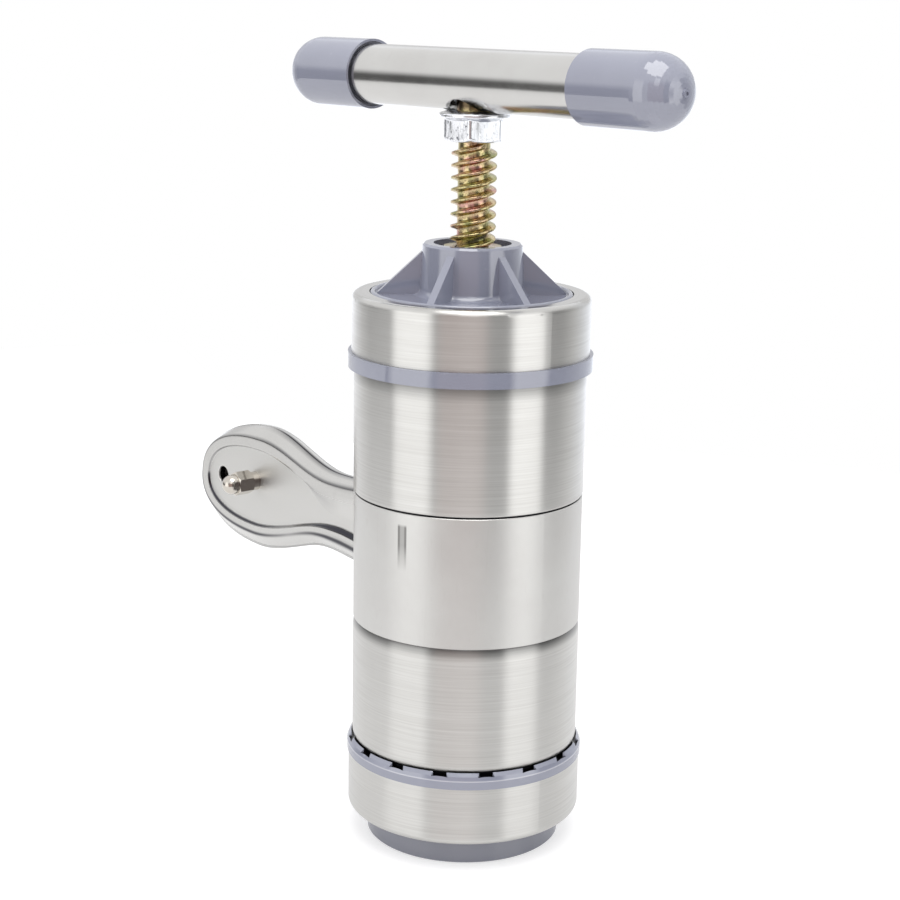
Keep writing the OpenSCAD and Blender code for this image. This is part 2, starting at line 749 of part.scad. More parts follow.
// One ring of the outline, drawn in by inset and laid at a depth. Its lower
// edge leans outwards, and its root end inside the barrel is cut away.
function outline_ring(inset, depth) = let (
    upper = concat([[root_x - root_back + inset, outline_half(root_x) - inset]],
        [for (i = [0 : neck_steps]) let (s = root_x + (lobe_x - root_x) * i / neck_steps)
            [s, outline_half(s) - inset]],
        [for (i = [1 : end_steps]) let (a = 90 * i / end_steps)
            [lobe_x + (lobe_reach - inset) * pow(sin(a), 2 / lobe_power),
             (lobe_half - inset) * pow(cos(a), 2 / lobe_power)]]),
    count = len(upper),
    lean = lobe_lean_share)
    concat([for (p = upper) [lean * p[1] - p[0], depth, p[1]]],
        [for (i = [count - 2 : -1 : 0]) let (p = upper[i]) [-lean * p[1] - p[0], depth, -p[1]]]);

// Profile of the sheet: inset and depth of each ring, on its outside
profile = concat([for (w = wall_shares) [w[0] * wall_w, w[1] * handle_half_t]],
    [[wall_w + rim_w, handle_half_t], [wall_w + rim_w + step_w, handle_half_t - panel_drop]]);

module handle_half() {
    last = len(profile) - 1;
    outer = [for (p = profile) outline_ring(p[0], max(p[1], seam_gap / 2))];
    inner = [for (i = [0 : last]) let (p = profile[i])
        outline_ring(p[0] + handle_sheet * (i < last - 1 ? 1 - p[1] / handle_half_t / 2 : -tan(45 / 2)),
            max(p[1] - handle_sheet * p[1] / handle_half_t, seam_gap / 2))];
    rings = concat([for (i = [last : -1 : 0]) outer[i]], inner);
    n = len(rings[0]);
    tip = (n - 1) / 2;
    points = [for (r = rings) each r];
    sides = [for (j = [0 : len(rings) - 2]) for (i = [0 : n - 1])
        let (a = j * n + i, b = j * n + (i + 1) % n) each [[a, b, b + n], [a, b + n, a + n]]];
    panel = concat([for (i = [0 : tip - 2]) each [[i, n - 1 - i, n - 2 - i], [i, n - 2 - i, i + 1]]],
        [[tip - 1, tip + 1, tip]]);
    inside = (len(rings) - 1) * n;
    inner_panel = [for (f = panel) [inside + f[0], inside + f[2], inside + f[1]]];
    cut_half = max(lobe_half, waist_half + flare_half) + overrun;
    difference() {
        translate([0, 0, handle_z])
            polyhedron(points = points, faces = concat(panel, sides, inner_panel), convexity = 6);
        translate([0, 0, handle_z - cut_half]) cylinder(h = 2 * cut_half, r = band_r + slide_gap);
        for (hole = [[hang_x, 0, hang_r], [bolt_x, bolt_up, bolt_r + bolt_hole_gap],
                [rivet_x, 0, rivet_r + slide_gap]])
            translate([-hole[0], handle_half_t + overrun, handle_z + hole[1]]) rotate([90, 0, 0])
                cylinder(h = handle_half_t + overrun, r = hole[2]);
    }
}

module handle_shell_rear() {
    color(polished_steel) handle_half();
}

module handle_shell_front() {
    color(polished_steel) mirror([0, 1, 0]) handle_half();
}

module across_handle(x, up = 0) {
    translate([-x, 0, handle_z + up]) rotate([90, 0, 0]) children();
}

module handle_bolt() {
    shank = panel_y + nut_collar_h + acorn_depth - slide_gap;
    color(nickel) across_handle(bolt_x, bolt_up) difference() {
        union() {
            translate([0, 0, -panel_y - bolt_head_h / 2])
                cylinder(h = panel_y + bolt_head_h / 2 + shank, r = bolt_r);
            translate([0, 0, -panel_y - bolt_head_h]) rotate_extrude() polygon(concat(
                [[0, 0]], arc(bolt_head_r - bolt_head_h / 2, bolt_head_h / 2, bolt_head_h / 2, 270, 360),
                [[bolt_head_r, bolt_head_h - slide_gap], [0, bolt_head_h - slide_gap]]));
        }
        translate([0, 0, -panel_y - bolt_head_h - overrun])
            cylinder(h = overrun + socket_depth, d = socket_across / cos(180 / 6), $fn = 6);
    }
}

module nut_collar() {
    color(nickel) across_handle(bolt_x, bolt_up)
        ring(nut_collar_r, bolt_r + fit_gap, panel_y + slide_gap, nut_collar_h - slide_gap);
}

module acorn_nut() {
    color(nickel) across_handle(bolt_x, bolt_up) translate([0, 0, panel_y + nut_collar_h]) difference() {
        union() {
            intersection() {
                rotate([0, 0, 90])
                    cylinder(h = acorn_hex_h, d = acorn_across / cos(180 / 6), $fn = 6);
                rotate_extrude() polygon([[0, 0], [acorn_across / 2, 0],
                    [acorn_across / 2 / cos(180 / 6) + fit_gap, nut_round],
                    [acorn_across / 2 / cos(180 / 6) + fit_gap, acorn_hex_h - nut_round],
                    [acorn_across / 2, acorn_hex_h], [0, acorn_hex_h]]);
            }
            rotate_extrude() polygon(concat([[0, 0], [acorn_dome_r, 0]],
                arc(0, acorn_hex_h + acorn_neck_h, acorn_dome_r, 0, 90, 12)));
        }
        translate([0, 0, -overrun]) cylinder(h = overrun + acorn_depth, r = bolt_r + fit_gap);
    }
}

module band_rivet() {
    head_y = panel_y + slide_gap;
    color(nickel) across_handle(rivet_x) {
        translate([0, 0, -head_y - rivet_head_h / 2])
            cylinder(h = 2 * head_y + rivet_head_h, r = rivet_r);
        for (side = [0, 1]) mirror([0, 0, side]) translate([0, 0, head_y]) rotate_extrude()
            polygon([[0, 0], [rivet_head_r, 0], [rivet_head_r, rivet_head_h / 4],
                [rivet_head_r - rivet_head_h / 2, rivet_head_h], [0, rivet_head_h]]);
    }
}

t_bar_tube();
t_bar_cap_left();
t_bar_cap_right();
t_bar_dowel();
flange_nut();
spindle();
spindle_bush();
cap_insert();
cap_shell();
barrel_sleeve();
chamber_liner();
handle_band();
handle_shell_front();
handle_shell_rear();
handle_bolt();
nut_collar();
acorn_nut();
band_rivet();
die_ring();
die_ring_shell();
die_plate();
piston_plate();
piston_seal();
piston_washer();
piston_screw();
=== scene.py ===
from math import cos, pi, radians, sin, sqrt

import bmesh
import bpy
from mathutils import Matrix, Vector
from mathutils.geometry import delaunay_2d_cdt


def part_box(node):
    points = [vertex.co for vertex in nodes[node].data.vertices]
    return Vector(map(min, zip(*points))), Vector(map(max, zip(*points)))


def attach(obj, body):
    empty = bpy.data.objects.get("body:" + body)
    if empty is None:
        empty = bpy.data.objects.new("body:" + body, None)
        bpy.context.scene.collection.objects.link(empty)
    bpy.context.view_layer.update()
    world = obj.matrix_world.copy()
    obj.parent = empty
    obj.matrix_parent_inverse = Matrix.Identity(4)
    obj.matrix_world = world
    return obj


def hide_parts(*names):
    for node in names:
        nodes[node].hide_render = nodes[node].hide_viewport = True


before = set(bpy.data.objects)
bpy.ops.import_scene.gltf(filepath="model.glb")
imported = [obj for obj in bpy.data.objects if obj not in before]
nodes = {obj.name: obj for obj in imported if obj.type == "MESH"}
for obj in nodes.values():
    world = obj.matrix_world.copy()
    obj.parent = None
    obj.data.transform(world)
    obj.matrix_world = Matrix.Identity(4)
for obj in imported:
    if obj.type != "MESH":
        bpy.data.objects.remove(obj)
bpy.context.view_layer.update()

# Camera
# It stands to the right of the side handle, about 0.6 m from the press, and
# looks down on it by 13 degrees.
scene = bpy.context.scene
lens = bpy.data.cameras.new("photo_camera")
lens.lens = 76.6
lens.sensor_width = 36
lens.clip_start = 0.01
camera = bpy.data.objects.new("photo_camera", lens)
camera.location = (0.47495, -0.39853, 0.28057)
camera.rotation_euler = (radians(76.615), radians(-0.902), radians(50.793))
scene.collection.objects.link(camera)
scene.camera = camera
scene.view_settings.view_transform = "Standard"


# Studio
# A round white table under the press, a white backdrop behind it, two tall
# softboxes beside the camera and a bright ceiling. The steel reflects them.
def wire(tree, kind, sockets=None, **settings):
    """A node with its settings, each named socket set or fed from another node."""
    node = tree.nodes.new(kind)
    for name, value in settings.items():
        setattr(node, name, value)
    for name, value in (sockets or {}).items():
        if isinstance(value, bpy.types.NodeSocket):
            tree.links.new(value, node.inputs[name])
        else:
            node.inputs[name].default_value = value
    return node


def ramp(tree, factor, stops):
    """A colour ramp through (place, grey or colour) stops that run from 0 to 1."""
    node = wire(tree, "ShaderNodeValToRGB", {"Fac": factor})
    band = node.color_ramp.elements
    for place, colour in stops:
        at = band[0] if place == 0 else band[-1] if place == 1 else band.new(place)
        at.color = (*colour, 1) if isinstance(colour, tuple) else (colour, colour, colour, 1)
    return node.outputs["Color"]


def sums(tree, operation, *values):
    """The result of a maths node."""
    return wire(tree, "ShaderNodeMath", dict(enumerate(values)), operation=operation).outputs[0]


def mix(tree, factor, a, b):
    """One colour laid over another."""
    node = wire(tree, "ShaderNodeMix", data_type="RGBA")
    for place, value in ((0, factor), (6, a), (7, b)):
        if isinstance(value, bpy.types.NodeSocket):
            tree.links.new(value, node.inputs[place])
        elif isinstance(value, tuple):
            node.inputs[place].default_value = (*value, 1)
        else:
            node.inputs[place].default_value = value if place == 0 else (value, value, value, 1)
    return node.outputs[2]


world = bpy.data.worlds.new("studio")
scene.world = world
world.use_nodes = True
room = world.node_tree
room.nodes.clear()
towards = wire(room, "ShaderNodeSeparateXYZ", {
    0: wire(room, "ShaderNodeTexCoord").outputs["Generated"]}).outputs
turn = sums(room, "ARCTAN2", towards["Y"], towards["X"])
# the camera's side is at 0.5, the backdrop at 0 and 1, and numbers rise to the right
camera_share = 220 / 360
around = sums(room, "FRACT", sums(room, "MULTIPLY_ADD", turn, 1 / (2 * pi), camera_share))
# the softboxes stand at 0.29 to 0.385 and 0.622 to 0.7, with a warm grey wall between them
walls = ramp(room, around, [
    (0.0, (1.5, 1.55, 1.65)), (0.09, (1.3, 1.32, 1.38)), (0.15, 0.5), (0.19, 0.1),
    (0.268, 0.1), (0.29, 1.6), (0.385, 1.7), (0.407, 0.24),
    (0.425, (0.48, 0.38, 0.36)), (0.53, (0.47, 0.365, 0.345)), (0.555, 0.14), (0.602, 0.15),
    (0.622, 1.85), (0.70, 1.7), (0.722, 0.22), (0.77, 0.32), (0.82, 0.66),
    (0.89, (1.05, 1.08, 1.14)), (1.0, (1.5, 1.55, 1.65))])
# behind the press a grey strip lies between the table and the ceiling
behind = ramp(room, around, [
    (0.0, 1.0), (0.09, 1.0), (0.14, 0.0), (0.86, 0.0), (0.91, 1.0), (1.0, 1.0)])
strip = ramp(room, towards["Z"], [
    (0.0, 0.0), (0.03, 1.0), (0.36, 1.0), (0.48, 0.0), (1.0, 0.0)])
walls = mix(room, sums(room, "MULTIPLY", behind, strip), walls, (0.8, 0.8, 0.81))
# the ceiling comes down lower behind the press and the side handle
drop = ramp(room, around, [
    (0.0, 0.0), (0.09, 0.04), (0.15, 0.36), (0.27, 0.36), (0.30, 0.0), (1.0, 0.0)])
ceiling = ramp(room, sums(room, "ADD", towards["Z"], drop), [
    (0.0, 0.0), (0.38, 0.0), (0.58, 1.0), (1.0, 1.0)])
lit = mix(room, ceiling, walls, (1.08, 1.08, 1.09))
seen = wire(room, "ShaderNodeLightPath").outputs["Is Camera Ray"]
wire(room, "ShaderNodeOutputWorld", {"Surface": wire(room, "ShaderNodeMixShader", {
    0: seen, 1: wire(room, "ShaderNodeBackground", {"Color": lit}).outputs[0],
    2: wire(room, "ShaderNodeBackground", {"Color": (1, 1, 1, 1)}).outputs[0]}).outputs[0]})


mm = 0.001
table = bpy.data.objects.new("table", bpy.data.meshes.new("table"))
table_z = -0.2 * mm
table_r = 0.58
table_left_r = 0.95
table_steps = 128
edge = []
for i in range(table_steps):
    # the sheet runs on to the left, past the side handle
    reach = table_left_r if 0.04 < (i / table_steps + camera_share) % 1 < 0.27 else table_r
    a = 2 * pi * i / table_steps
    edge.append((reach * cos(a), reach * sin(a), table_z))
table.data.from_pydata([(0, 0, table_z)] + edge, [], [
    (0, 1 + i, 1 + (i + 1) % table_steps) for i in range(table_steps)])
scene.collection.objects.link(table)
white = bpy.data.materials.new("white_table")
white.use_nodes = True
top = white.node_tree
skin = top.nodes["Principled BSDF"]
skin.inputs["Base Color"].default_value = (0.55, 0.55, 0.555, 1)
skin.inputs["Roughness"].default_value = 0.6
skin.inputs["Emission Color"].default_value = (1, 1, 1, 1)
eye = wire(top, "ShaderNodeLightPath").outputs["Is Camera Ray"]
# the camera doesn't see the table's polish, the steel does
top.links.new(sums(top, "SUBTRACT", 1.0, eye), skin.inputs["Coat Weight"])
skin.inputs["Coat Roughness"].default_value = 0.12
top.links.new(sums(top, "MULTIPLY_ADD", eye, 0.12, 0.42), skin.inputs["Emission Strength"])
table.data.materials.append(white)

middle = Vector((0, 0, 0.15))
for name, place, size, power, colour in (
        ("overhead", (0.25, -0.16, 1.02), 0.8, 3.8, (1, 0.995, 0.98)),
        ("side", (0.9, -0.75, 0.9), 0.5, 0.6, (0.97, 0.98, 1))):
    lamp = bpy.data.lights.new(name, "AREA")
    lamp.shape = "DISK"
    lamp.size = size
    lamp.energy = power
    lamp.color = colour
    stand = bpy.data.objects.new(name, lamp)
    stand.location = place
    stand.rotation_euler = (middle - Vector(place)).to_track_quat("-Z", "Y").to_euler()
    scene.collection.objects.link(stand)


# Barrel sleeve and the two shells
# Stainless sheet, brushed while it was turned, so the marks run around the
# axis. The sleeve's foot and its edge under the band are rolled in.
def effect(name, inputs, outputs):
    """An empty node group with named inputs and outputs, and its two end nodes."""
    tree = bpy.data.node_groups.new(name, "ShaderNodeTree")
    for label, value in inputs.items():
        socket = tree.interface.new_socket(label, in_out="INPUT", socket_type="NodeSocketFloat")
        socket.default_value = value
    for label in outputs:
        tree.interface.new_socket(label, in_out="OUTPUT", socket_type="NodeSocketFloat")
    ends = tree.nodes.new("NodeGroupInput"), tree.nodes.new("NodeGroupOutput")
    return tree, ends[0].outputs, ends[1].inputs


def use(tree, group, **values):
    """A placed effect, with its own values."""
    node = tree.nodes.new("ShaderNodeGroup")
    node.node_tree = group
    for label, value in values.items():
        node.inputs[label.replace("_", " ")].default_value = value
    return node.outputs


def noise(tree, vector, scale, detail=2.0, roughness=0.5):
    """Cloudy noise between 0 and 1."""
    return wire(tree, "ShaderNodeTexNoise", {
        "Vector": vector, "Scale": scale, "Detail": detail, "Roughness": roughness}).outputs["Fac"]


turned_brushing, given, out = effect(
    "turned brushing", {"Lines": 2000.0, "Sweep": 24.0}, ("Streak", "Cloud"))
tree = turned_brushing
place = wire(tree, "ShaderNodeTexCoord").outputs["Object"]
xyz = wire(tree, "ShaderNodeSeparateXYZ", {0: place}).outputs
reach = wire(tree, "ShaderNodeVectorMath", {0: wire(tree, "ShaderNodeCombineXYZ", {
    "X": xyz["X"], "Y": xyz["Y"]}).outputs[0]}, operation="LENGTH").outputs["Value"]
lines = wire(tree, "ShaderNodeCombineXYZ", {
    "X": sums(tree, "MULTIPLY", xyz["X"], given["Sweep"]),
    "Y": sums(tree, "MULTIPLY", xyz["Y"], given["Sweep"]),
    "Z": sums(tree, "MULTIPLY", sums(tree, "ADD", xyz["Z"], reach), given["Lines"])}).outputs[0]
tree.links.new(noise(tree, lines, 1.0, 3.0, 0.6), out["Streak"])
tree.links.new(noise(tree, place, 32.0), out["Cloud"])


def finish(name, roughness, metallic=1.0, **sockets):
    """A new material with one Principled shader, its node tree and its shader."""
    material = bpy.data.materials.new(name)
    material.use_nodes = True
    skin = material.node_tree.nodes["Principled BSDF"]
    skin.inputs["Metallic"].default_value = metallic
    skin.inputs["Roughness"].default_value = roughness
    for label, value in sockets.items():
        skin.inputs[label.replace("_", " ")].default_value = value
    return material, material.node_tree, skin


def relief(tree, skin, height, depth, strength=1.0):
    """A bump of this depth in metres."""
    bump = wire(tree, "ShaderNodeBump", {"Height": height, "Distance": depth, "Strength": strength})
    tree.links.new(bump.outputs[0], skin.inputs["Normal"])


def dress(material, *names):
    """Puts a material on CAD nodes."""
    for name in names:
        nodes[name].data.materials.clear()
        nodes[name].data.materials.append(material)


def fit(piece, material, body, slot, *replaced):
    """Gives a new piece its finish and its body, and hides the CAD nodes that it stands for."""
    piece.data.materials.append(material)
    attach(piece, body)
    if replaced:
        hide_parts(*replaced)


brushed, tree, skin = finish("brushed_steel", 0.29, Anisotropic=0.9, Anisotropic_Rotation=0.25)
marks = use(tree, turned_brushing)
tree.links.new(wire(tree, "ShaderNodeTangent", direction_type="RADIAL", axis="Z").outputs[0],
               skin.inputs["Tangent"])
shine = ramp(tree, marks["Streak"], [(0, (0.44, 0.432, 0.412)), (0.35, (0.55, 0.542, 0.522)),
                                     (0.65, (0.615, 0.61, 0.59)), (1, (0.72, 0.715, 0.695))])
# painted shade: the sleeve is painted nearly black at the die ring's rim and on its seats behind
# the band, and darker in the shade under the band and the cap
joint = wire(tree, "ShaderNodeAttribute", attribute_name="joint").outputs["Fac"]
tree.links.new(mix(tree, joint, shine, (0.02, 0.02, 0.024)), skin.inputs["Base Color"])
rough = sums(tree, "MULTIPLY_ADD", marks["Cloud"], 0.04, 0.27)
# the flat edges were faced with a finer belt
upward = wire(tree, "ShaderNodeSeparateXYZ", {
    0: wire(tree, "ShaderNodeTexCoord").outputs["Normal"]}).outputs["Z"]
faced = ramp(tree, upward, [(0, 1.0), (0.8, 1.0), (0.97, 0.38), (1, 0.36)])
tree.links.new(sums(tree, "MULTIPLY", rough, faced), skin.inputs["Roughness"])
relief(tree, skin, marks["Streak"], 0.003 * mm, 0.12)
dress(brushed, "cap_shell", "die_ring_shell")


def grid_mesh(name, rings, closed=True):
    """A smooth skin over rings of points that all have the same count."""
    mesh = bpy.data.meshes.new(name)
    row = len(rings[0])
    count = len(rings) if closed else len(rings) - 1
    faces = []
    for i in range(count):
        here, following = i * row, (i + 1) % len(rings) * row
        faces += [(here + k, following + k, following + k + 1, here + k + 1)
                  for k in range(row - 1)]
    mesh.from_pydata([point for ring in rings for point in ring], [], faces)
    mesh.shade_smooth()
    piece = bpy.data.objects.new(name, mesh)
    scene.collection.objects.link(piece)
    return piece


def lathe(name, profile, steps=128):
    """A skin turned around the barrel axis from (radius, height) points."""
    return grid_mesh(name, [[(r * cos(2 * pi * i / steps), r * sin(2 * pi * i / steps), z)
                             for r, z in profile] for i in range(steps)])


def bend(start, corner, end, steps=6):
    """Points along a smooth bend that leaves start and meets end towards corner."""
    points = []
    for i in range(steps + 1):
        t = i / steps
        points.append(tuple((1 - t) ** 2 * a + 2 * t * (1 - t) * b + t * t * c
                            for a, b, c in zip(start, corner, end)))
    return points


sleeve_low, sleeve_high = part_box("barrel_sleeve")
sleeve_r = sleeve_high[0]
band_low, band_high = (corner[2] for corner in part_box("handle_band"))
band_middle = (band_low + band_high) / 2
rim_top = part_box("die_ring")[1][2]
cap_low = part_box("cap_insert")[0][2]
sheet = 0.8 * mm
foot_round = 1.9 * mm
shoulder = 4.4 * mm
shoulder_in = 0.55 * mm
seat_in = 0.75 * mm
lower_sleeve = (
    [(sleeve_r - 3 * sheet, sleeve_low[2]), (sleeve_r - sheet, sleeve_low[2]),
     (sleeve_r - sheet, rim_top - sheet)]
    + bend((sleeve_r - sheet, rim_top - 0.4 * mm), (sleeve_r, rim_top + 0.3 * mm),
           (sleeve_r, rim_top + 0.3 * mm + foot_round), 8)
    + [(sleeve_r, rim_top + 3 * mm), (sleeve_r, band_low - shoulder - 2 * mm)]
    + bend((sleeve_r, band_low - shoulder), (sleeve_r, band_low - 0.4 * shoulder),
           (sleeve_r - shoulder_in, band_low - 0.05 * mm), 10)
    + [(sleeve_r - seat_in, band_low), (sleeve_r - seat_in, band_middle)])
upper_sleeve = (
    [(sleeve_r - seat_in, band_middle), (sleeve_r - seat_in, band_high)]
    + bend((sleeve_r - seat_in, band_high + 0.4 * mm), (sleeve_r, band_high + 0.45 * mm),
           (sleeve_r, band_high + 1.0 * mm))
    + [(sleeve_r, band_high + 2 * mm), (sleeve_r, cap_low - 5 * mm), (sleeve_r, cap_low - 2.5 * mm),
       (sleeve_r, cap_low), (sleeve_r, sleeve_high[2] - 0.5 * mm),
       (sleeve_r - 0.2 * mm, sleeve_high[2]), (sleeve_r - sheet, sleeve_high[2])])


def sleeve(name, profile, painted_shade_at):
    """Part of the sleeve, with the painted shade at its joints stored at each point."""
    piece = lathe(name, profile)
    dark = piece.data.attributes.new("joint", "FLOAT", "POINT")
    for point, value in zip(piece.data.vertices, dark.data):
        value.value = min(1, max(0, painted_shade_at(point.co.z)))
    fit(piece, brushed, "barrel", "brushed_steel", "barrel_sleeve")


# painted shade: dark at the die ring's rim and on the seats behind the band, and less so in the
# shade of the band and of the cap
band_shade = 3.6 * mm
cap_shade = 5 * mm
sleeve("lower_sleeve", lower_sleeve, lambda z: max(
    (rim_top + 0.35 * mm - z) / (0.4 * mm), 0.75 * ((z - band_low + band_shade) / band_shade)))
sleeve("upper_sleeve", upper_sleeve, lambda z: max(
    (band_high + 0.85 * mm - z) / (0.25 * mm), 0.6 * ((z - cap_low + cap_shade) / cap_shade)))

# Band and side handle
# The band is a polished strip round the barrel. It carries two stamped halves
# that close on each other, each with a wall, a flat rim and a pressed panel.
def stretched(tree, vector, scales):
    """The place on the surface, stretched differently along each axis."""
    return wire(tree, "ShaderNodeMapping", {"Vector": vector, "Scale": scales}).outputs[0]


fine_wear, given, out = effect("fine wear", {"Size": 1.0}, ("Scratch", "Smudge"))
tree = fine_wear
place = wire(tree, "ShaderNodeVectorMath", {
    0: wire(tree, "ShaderNodeTexCoord").outputs["Object"]}, operation="SCALE")
tree.links.new(given["Size"], place.inputs["Scale"])
place = place.outputs[0]
first = noise(tree, stretched(tree, place, (900, 260, 30)), 1.0, 3.0, 0.6)
turned_place = wire(tree, "ShaderNodeMapping", {
    "Vector": place, "Rotation": (0.5, 0.9, 0.7)}).outputs[0]
second = noise(tree, stretched(tree, turned_place, (34, 1000, 320)), 1.0, 3.0, 0.6)
tree.links.new(ramp(tree, sums(tree, "MAXIMUM", first, second), [
    (0, 0.0), (0.62, 0.0), (0.76, 1.0), (1, 1.0)]), out["Scratch"])
tree.links.new(noise(tree, place, 55.0, 4.0, 0.6), out["Smudge"])


def polished_steel(name, roughness, painted_dent=None):
    """Polished sheet with a few fine scratches, and an optional mask of painted shade."""
    material, tree, skin = finish(name, roughness)
    wear = use(tree, fine_wear)
    shine = ramp(tree, wear["Smudge"], [(0, (0.55, 0.54, 0.52)), (0.4, (0.585, 0.577, 0.56)),
                                        (0.6, (0.605, 0.60, 0.582)), (1, (0.65, 0.645, 0.63))])
    shine = mix(tree, sums(tree, "MULTIPLY", wear["Scratch"], 0.25), shine, (0.5, 0.485, 0.46))
    # painted shade of a pressed dent, where one is given
    if painted_dent:
        shine = mix(tree, painted_dent(tree), shine, (0.17, 0.165, 0.16))
    tree.links.new(shine, skin.inputs["Base Color"])
    tree.links.new(sums(tree, "MULTIPLY_ADD", wear["Smudge"], 0.1, roughness - 0.05),
                   skin.inputs["Roughness"])
    relief(tree, skin, wear["Scratch"], 0.004 * mm, 0.3)
    return material


def press_dent_painted_shade(tree):
    """Painted shade of the dent where the tool pressed the band to the sleeve, high on its front.
    """
    place = wire(tree, "ShaderNodeTexCoord").outputs["Object"]
    xyz = wire(tree, "ShaderNodeSeparateXYZ", {0: place}).outputs
    across = sums(tree, "ABSOLUTE", wire(tree, "ShaderNodeVectorMath", {
        0: place, 1: (0.956 / mark_w, 0.292 / mark_w, 0)},
        operation="DOT_PRODUCT").outputs["Value"])
    # painted shade of the dent's two walls with a paler strip between them, fading out towards the
    # lower end
    edges = ramp(tree, across, [(0, 0.5), (0.35, 0.5), (0.55, 0.85), (0.85, 0.88), (1, 0.0)])
    up = sums(tree, "MULTIPLY", sums(tree, "SUBTRACT", xyz["Z"], mark_top - mark_h), 1 / mark_h)
    worn = ramp(tree, up, [(0, 0.0), (0.3, 0.5), (0.55, 1.0), (0.94, 1.0), (1, 0.0)])
    shape = sums(tree, "MULTIPLY", edges, worn)
    return sums(tree, "MULTIPLY", shape, sums(tree, "LESS_THAN", xyz["Y"], 0.0))


mark_w = 1.8 * mm
mark_h = 15.5 * mm
mark_top = 116 * mm
dress(polished_steel("polished_steel", 0.2), "t_bar_tube")
dress(polished_steel("band_steel", 0.34, press_dent_painted_shade), "handle_band")

stamped, tree, skin = finish("stamped_steel", 0.22)
wear = use(tree, fine_wear, Size=0.8)
shine = ramp(tree, wear["Smudge"], [(0, (0.53, 0.522, 0.503)), (0.4, (0.575, 0.568, 0.55)),
                                    (0.6, (0.59, 0.584, 0.568)), (1, (0.63, 0.625, 0.61))])
shine = mix(tree, sums(tree, "MULTIPLY", wear["Scratch"], 0.2), shine, (0.42, 0.41, 0.39))
# painted reflection and shade: the tight bends and the foot of the panel's step are painted dark as
# a dark reflection, and the seam as shade
drawn = wire(tree, "ShaderNodeAttribute", attribute_name="drawn").outputs["Fac"]
flat = wire(tree, "ShaderNodeAttribute", attribute_name="panel").outputs["Fac"]
# painted reflection: the flat panel is painted lighter than the walls, and it is also rougher
shine = mix(tree, sums(tree, "MULTIPLY", flat, 0.8), shine, (0.70, 0.695, 0.675))
tree.links.new(mix(tree, drawn, shine, (0.05, 0.05, 0.06)), skin.inputs["Base Color"])
rough = sums(tree, "MULTIPLY_ADD", wear["Smudge"], 0.12, 0.17)
tree.links.new(sums(tree, "MULTIPLY_ADD", flat, 0.24, rough), skin.inputs["Roughness"])
relief(tree, skin, wear["Scratch"], 0.004 * mm, 0.3)

handle_low, handle_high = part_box("handle_shell_front")
handle_z = (handle_low[2] + handle_high[2]) / 2
half_t = -handle_low[1]
lobe_half = handle_high[2] - handle_z
waist_half = 14.2 * mm
flare_half = 5.6 * mm
root_s = sleeve_r - half_t
lobe_s = 119 * mm
tip_s = 161.3 * mm
waist_s = root_s + 0.47 * (lobe_s - root_s)
lobe_power = 2.35
lean = 0.14
wall_w = 4.9 * mm
rim_w = 3.5 * mm
step_w = 0.9 * mm
panel_drop = 0.9 * mm
seam_gap = 0.13 * mm
neck_steeper = 0.34
# along the upper neck the panel's step is pressed softer, up to this much broader
soft_step = 7 * mm
soft_end = lobe_s - 26 * mm
fade = 24 * mm
# distance from the axis in metres, then how many mm the edge, the bend and the
# panel's step lie below the mirror of the upper ones
low_side = [(33 * mm, 1.4, -2.3, -1.6), (64 * mm, 1.4, -2.3, -1.5), (83 * mm, 0.6, -2.1, -0.8),
            (95 * mm, 0.7, -1.6, -0.3), (108 * mm, 0.5, -1.4, -0.3), (122 * mm, 1.0, -1.1, 0.0)]
# the handle swings a little to the camera's side, by this much of its length
swing = 0.0105
hole_steps = 32


def half_height(s):
    """Half the height of the handle at a distance from the barrel axis."""
    if s < waist_s:
        return waist_half + flare_half * ((waist_s - s) / (waist_s - root_s)) ** 2
    swell = 1 - cos(pi * (s - waist_s) / (lobe_s - waist_s))
    return waist_half + (lobe_half - waist_half) * swell / 2


def eased(share):
    """A soft step from 0 to 1."""
    share = min(1, max(0, share))
    return share * share * (3 - 2 * share)


def lowered(s, inset):
    """How far a line round the handle lies below the mirror of the upper one, on the low side."""
    for (a, *before), (b, *after) in zip(low_side, low_side[1:]):
        if a <= s <= b:
            edge, corner, step = [(p + (q - p) * (s - a) / (b - a)) * mm
                                  for p, q in zip(before, after)]
            break
    if inset < wall_w:
        return edge + (corner - edge) * inset / wall_w
    if inset < wall_w + rim_w:
        return corner + (step - corner) * (inset - wall_w) / rim_w
    # the step is broader along the neck
    return step - (inset - wall_w - rim_w) * 1.3 * eased((88 * mm - s) / fade)


def outline(inset, soft=0.0, neck=56, end=26):
    """Points round a handle half, set in by inset, and by soft more in the upper neck."""
    upper = []
    lower = []
    for i in range(neck + 1):
        s = root_s + (lobe_s - root_s) * i / neck
        # the wall is steeper along the neck than round the lobe
        along_neck = 1 - eased((s - waist_s) / (lobe_s - waist_s))
        h = half_height(s) - inset + min(inset, wall_w) * neck_steeper * along_neck
        upper.append((s, h - soft * eased((soft_end - s) / fade)))
        lower.append((s, -h - lowered(s, inset)))
    low_half = lobe_half - inset + lowered(lobe_s, inset)
    for i in range(1, end + 1):
        a = pi / 2 * i / end
        reach = tip_s - lobe_s - inset
        # the edge is rounder above than below
        power = lobe_power - 0.45 * (1 - min(1, inset / wall_w))
        upper.append((lobe_s + reach * sin(a) ** (2 / power),
                      (lobe_half - inset) * max(cos(a), 0) ** (2 / power)))
        lower.append((lobe_s + reach * sin(a) ** (2 / lobe_power),
                      -low_half * max(cos(a), 0) ** (2 / lobe_power)))
    return upper + lower[-2::-1]


